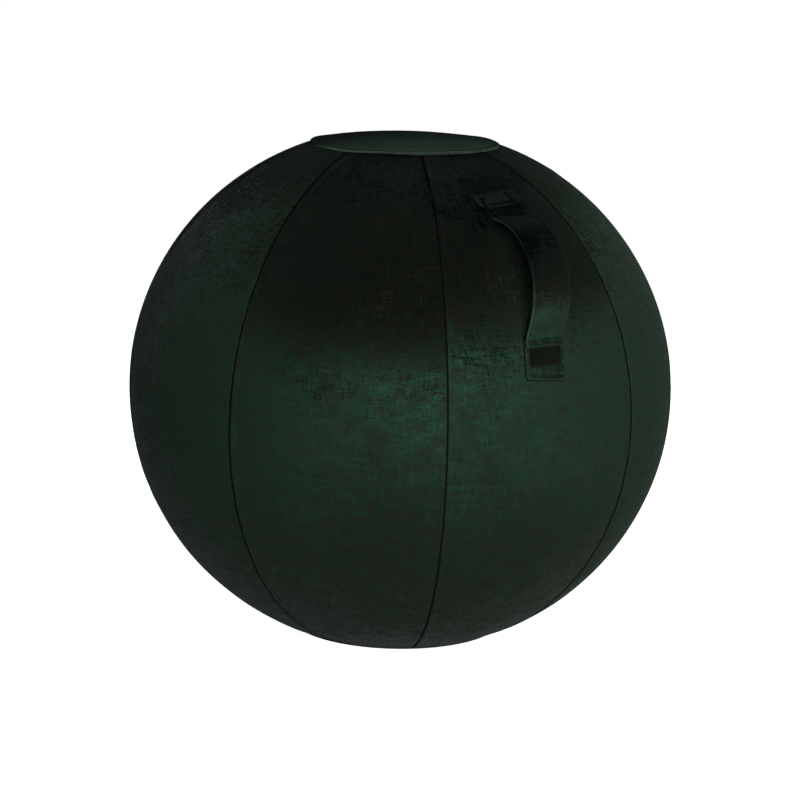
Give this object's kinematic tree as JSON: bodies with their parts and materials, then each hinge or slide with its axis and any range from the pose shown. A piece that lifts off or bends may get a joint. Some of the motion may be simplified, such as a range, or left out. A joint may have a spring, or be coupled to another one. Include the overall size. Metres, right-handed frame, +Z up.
{
  "type": "sitting ball",
  "caption": "Round velvet sitting ball with gored cover, domed top cap, flat base, arched carry handle and a zip over an inflated inner ball.",
  "frame": {"origin": "on the floor, under the middle of the base panel", "axes": "+Z up through the top cap, -Y towards the carry handle"},
  "size_m": [0.6498, 0.6499, 0.5965],
  "materials": {
    "velvet": "cut pile velvet, dark green",
    "base_fabric": "dark non-slip woven",
    "bladder": "satin",
    "plug": "satin",
    "badge": "smooth, plain",
    "zip_tape": "woven",
    "zip_teeth": "moulded, satin",
    "zip_metal": "satin black"
  },
  "bodies": {
    "ball": {"inner_ball": "bladder", "valve_seat": "bladder", "valve_plug": "plug", "cover_gore_1": "velvet", "cover_gore_2": "velvet", "cover_gore_3": "velvet", "cover_gore_4": "velvet", "cover_gore_5": "velvet", "cover_gore_6": "velvet", "cover_gore_7": "velvet", "cover_gore_8": "velvet", "top_cap": "velvet", "base_panel": "base_fabric", "handle_upper_patch": "velvet", "handle_lower_patch": "velvet", "handle_badge": "badge", "zip_tape_left": "zip_tape", "zip_tape_right": "zip_tape", "zip_teeth_left": "zip_teeth", "zip_teeth_right": "zip_teeth", "zip_bottom_stop": "zip_teeth", "zip_top_stop": "zip_teeth"},
    "handle": {"handle_grip": "velvet", "handle_upper_end": "velvet", "handle_lower_end": "velvet"},
    "slider": {"zip_slider": "zip_metal"},
    "pull": {"zip_pull": "zip_metal"}
  },
  "joints": [
    {"name": "handle_swing", "type": "hinge", "parent": "ball", "child": "handle", "pos_m": [0, -0.26684, 0.46536], "axis": [0, 0.571, 0.8209], "range_deg": [-40, 40], "stiffness_Nm_per_rad": 0.05, "deforming": ["handle_upper_end", "handle_lower_end"]},
    {"name": "zip_travel", "type": "hinge", "parent": "ball", "child": "slider", "pos_m": [0.00597, 0.01441, 0.29059], "axis": [0.9239, -0.3827, 0], "range_deg": [0, 60.5], "deforming": ["zip_teeth_left", "zip_teeth_right"]},
    {"name": "pull_swing", "type": "hinge", "parent": "slider", "child": "pull", "pos_m": [0.08602, 0.20768, 0.05911], "axis": [0.9239, -0.3827, 0], "range_deg": [-44, 130]}
  ]
}
